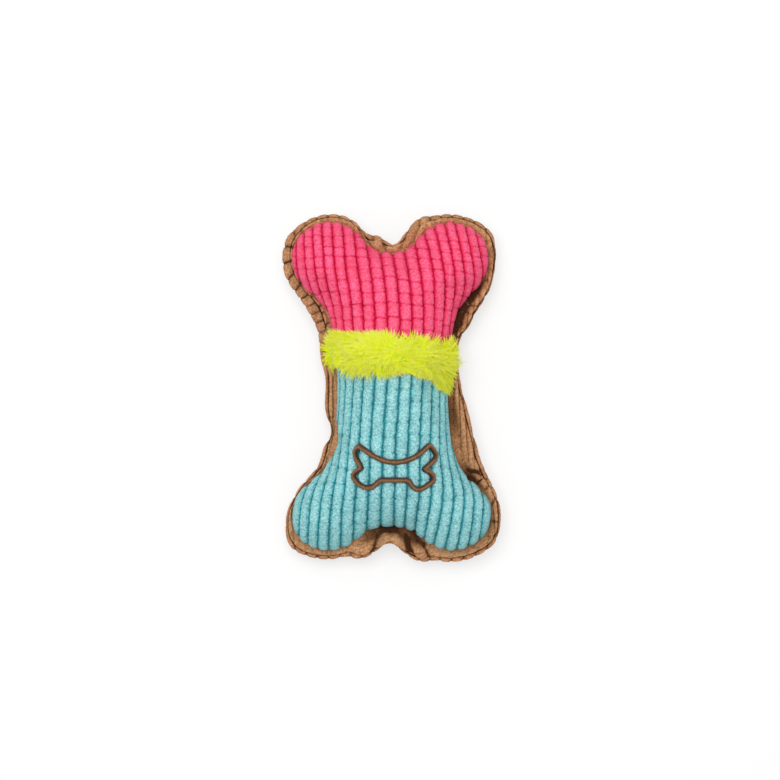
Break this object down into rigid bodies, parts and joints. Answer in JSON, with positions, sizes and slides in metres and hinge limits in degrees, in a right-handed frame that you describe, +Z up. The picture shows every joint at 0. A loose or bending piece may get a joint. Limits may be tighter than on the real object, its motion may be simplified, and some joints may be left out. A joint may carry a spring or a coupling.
{
  "type": "squeaky dog toy",
  "caption": "Stuffed bone-shaped corduroy dog toy with a fur band, a doubled border along its seam and a squeaker in its waist.",
  "frame": {"origin": "on the flat underside that the toy lies on, under the middle of its waist", "axes": "+Z up through the front of the toy, +Y along the bone towards the pink end, +X to the right as seen from the front"},
  "size_m": [0.1276, 0.2035, 0.0548],
  "materials": {
    "pink_corduroy": "chunky corduroy pile",
    "lime_fur": "short curly fur",
    "blue_corduroy": "chunky corduroy pile",
    "brown_corduroy": "chunky corduroy pile",
    "brown_thread": "satin stitch",
    "white_fibre": "loose polyester fibre",
    "clear_plastic": "soft moulded plastic",
    "whistle_plastic": "moulded plastic",
    "reed_plastic": "thin film"
  },
  "bodies": {
    "back": {"back_panel": "brown_corduroy", "front_border": "brown_corduroy", "back_wad_waist": "white_fibre", "back_wad_upper_left": "white_fibre", "back_wad_upper_right": "white_fibre", "back_wad_lower_left": "white_fibre", "back_wad_lower_right": "white_fibre", "filling_core": "white_fibre", "squeaker_bulb": "clear_plastic"},
    "front": {"front_upper_panel": "pink_corduroy", "front_lower_panel": "blue_corduroy", "fur_band": "lime_fur", "embroidered_bone": "brown_thread", "front_wad_waist": "white_fibre", "front_wad_upper_left": "white_fibre", "front_wad_upper_right": "white_fibre", "front_wad_lower_left": "white_fibre", "front_wad_lower_right": "white_fibre"},
    "whistle": {"whistle_base": "whistle_plastic", "whistle_clamp": "whistle_plastic"},
    "reed": {"whistle_reed": "reed_plastic"}
  },
  "joints": [
    {"name": "squeeze", "type": "slide", "parent": "back", "child": "front", "axis": [0, 0, -1], "range_m": [0, 0.009], "stiffness_N_per_m": 1200, "deforming": ["front_upper_panel", "front_lower_panel", "fur_band", "filling_core", "squeaker_bulb"]},
    {"name": "whistle_drop", "type": "slide", "parent": "back", "child": "whistle", "axis": [0, 0, -1], "range_m": [0, 0.0045]},
    {"name": "reed_flex", "type": "hinge", "parent": "whistle", "child": "reed", "pos_m": [0.0015, -0.0123, 0.0226], "axis": [-1, 0, 0], "range_deg": [0, 6], "stiffness_Nm_per_rad": 0.002}
  ],
  "couplings": [
    {"joint": "whistle_drop", "follows": "squeeze", "ratio": 0.5}
  ]
}
